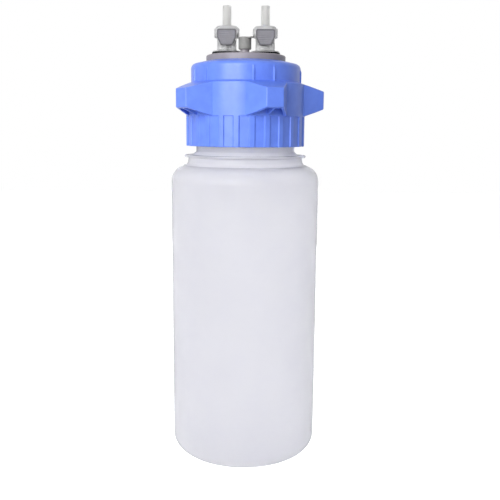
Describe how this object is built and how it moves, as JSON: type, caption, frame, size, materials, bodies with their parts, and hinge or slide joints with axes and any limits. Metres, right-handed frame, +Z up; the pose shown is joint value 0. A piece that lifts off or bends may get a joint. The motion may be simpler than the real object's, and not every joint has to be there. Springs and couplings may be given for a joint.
{
  "type": "vacuum filtration collection bottle",
  "caption": "Tall translucent collection bottle with a winged screw ring and a head plate that carries push-button quick couplings with hose tubes and a capped vent.",
  "frame": {"origin": "centre of the base, on the plane that the bottle stands on, on the bottle's axis", "axes": "+Z up along the bottle's axis, -Y the front where the push buttons are, +X towards the vacuum coupling"},
  "size_m": [0.1483, 0.1485, 0.44],
  "materials": {
    "bottle_polypropylene": "translucent natural, softly satin",
    "ring_polypropylene": "blue, moulded, satin",
    "head_polypropylene": "grey, moulded, matt",
    "coupling_plastic": "natural white, moulded, satin",
    "button_plastic": "grey, moulded, satin",
    "barb_plastic": "natural white, moulded, satin",
    "gasket_rubber": "black, cut from sheet",
    "seal_rubber": "black, moulded",
    "cap_rubber": "grey, moulded, matt",
    "tube_polyethylene": "natural, extruded",
    "spring_steel": "stainless wire, drawn"
  },
  "bodies": {
    "bottle": {"bottle": "bottle_polypropylene"},
    "head": {"head_plate": "head_polypropylene", "neck_gasket": "seal_rubber", "drop_tube": "tube_polyethylene", "inlet_body": "coupling_plastic", "inlet_gasket": "gasket_rubber", "inlet_nut": "coupling_plastic", "inlet_latch_spring": "spring_steel", "inlet_poppet": "coupling_plastic", "inlet_poppet_o_ring": "seal_rubber", "inlet_poppet_spring": "spring_steel", "vacuum_body": "coupling_plastic", "vacuum_gasket": "gasket_rubber", "vacuum_nut": "coupling_plastic", "vacuum_latch_spring": "spring_steel", "vacuum_poppet": "coupling_plastic", "vacuum_poppet_o_ring": "seal_rubber", "vacuum_poppet_spring": "spring_steel"},
    "ring": {"screw_ring": "ring_polypropylene"},
    "inlet_button": {"inlet_latch": "button_plastic"},
    "inlet_plug": {"inlet_barb": "barb_plastic", "inlet_barb_o_ring": "seal_rubber"},
    "vacuum_button": {"vacuum_latch": "button_plastic"},
    "vacuum_plug": {"vacuum_barb": "barb_plastic", "vacuum_barb_o_ring": "seal_rubber"},
    "vent": {"vent_cap": "cap_rubber"}
  },
  "joints": [
    {"name": "head_lift", "type": "slide", "parent": "bottle", "child": "head", "axis": [0, 0, 1], "range_m": [0, 0.0075]},
    {"name": "ring_turn", "type": "hinge", "parent": "head", "child": "ring", "pos_m": [0, 0, 0.35], "axis": [0, 0, 1], "range_deg": [0, 450]},
    {"name": "inlet_press", "type": "slide", "parent": "head", "child": "inlet_button", "axis": [0, 1, 0], "range_m": [0, 0.002], "stiffness_N_per_m": 2000, "springref_m": -0.0005, "deforming": ["inlet_latch_spring"]},
    {"name": "inlet_swivel", "type": "hinge", "parent": "head", "child": "inlet_plug", "pos_m": [-0.0184, 0, 0.42], "axis": [0, 0, 1], "continuous": true},
    {"name": "vacuum_press", "type": "slide", "parent": "head", "child": "vacuum_button", "axis": [0, 1, 0], "range_m": [0, 0.002], "stiffness_N_per_m": 2000, "springref_m": -0.0005, "deforming": ["vacuum_latch_spring"]},
    {"name": "vacuum_swivel", "type": "hinge", "parent": "head", "child": "vacuum_plug", "pos_m": [0.0184, 0, 0.42], "axis": [0, 0, 1], "continuous": true},
    {"name": "vent_pull", "type": "slide", "parent": "head", "child": "vent", "axis": [0, 0, 1], "range_m": [0, 0.01]}
  ],
  "couplings": [
    {"joint": "head_lift", "follows": "ring_turn", "m_per_rad": 0.00095493}
  ]
}
